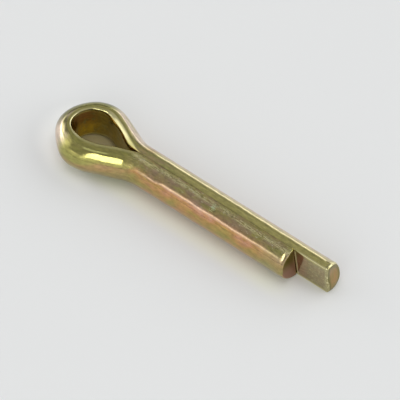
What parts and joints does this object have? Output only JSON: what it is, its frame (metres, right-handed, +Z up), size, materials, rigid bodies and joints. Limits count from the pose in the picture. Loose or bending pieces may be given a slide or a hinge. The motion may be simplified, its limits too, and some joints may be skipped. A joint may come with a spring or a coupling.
{
  "type": "cotter pin",
  "caption": "Split cotter pin of yellow-plated half-round steel wire, folded into a drop-shaped eye, with a long and a short straight leg that make a round shank.",
  "frame": {"origin": "on the shank's axis, where the eye ends and both legs run straight", "axes": "+X along the shank towards the tips, +Y towards the long leg, +Z up through the eye's hole as the pin lies flat"},
  "size_m": [0.0287, 0.0071, 0.0036],
  "materials": {
    "yellow_plating": "drawn steel wire, zinc plated and yellow passivated, glossy with a faint pink and green tint"
  },
  "bodies": {
    "root": {"cotter_pin": "yellow_plating"}
  },
  "joints": []
}
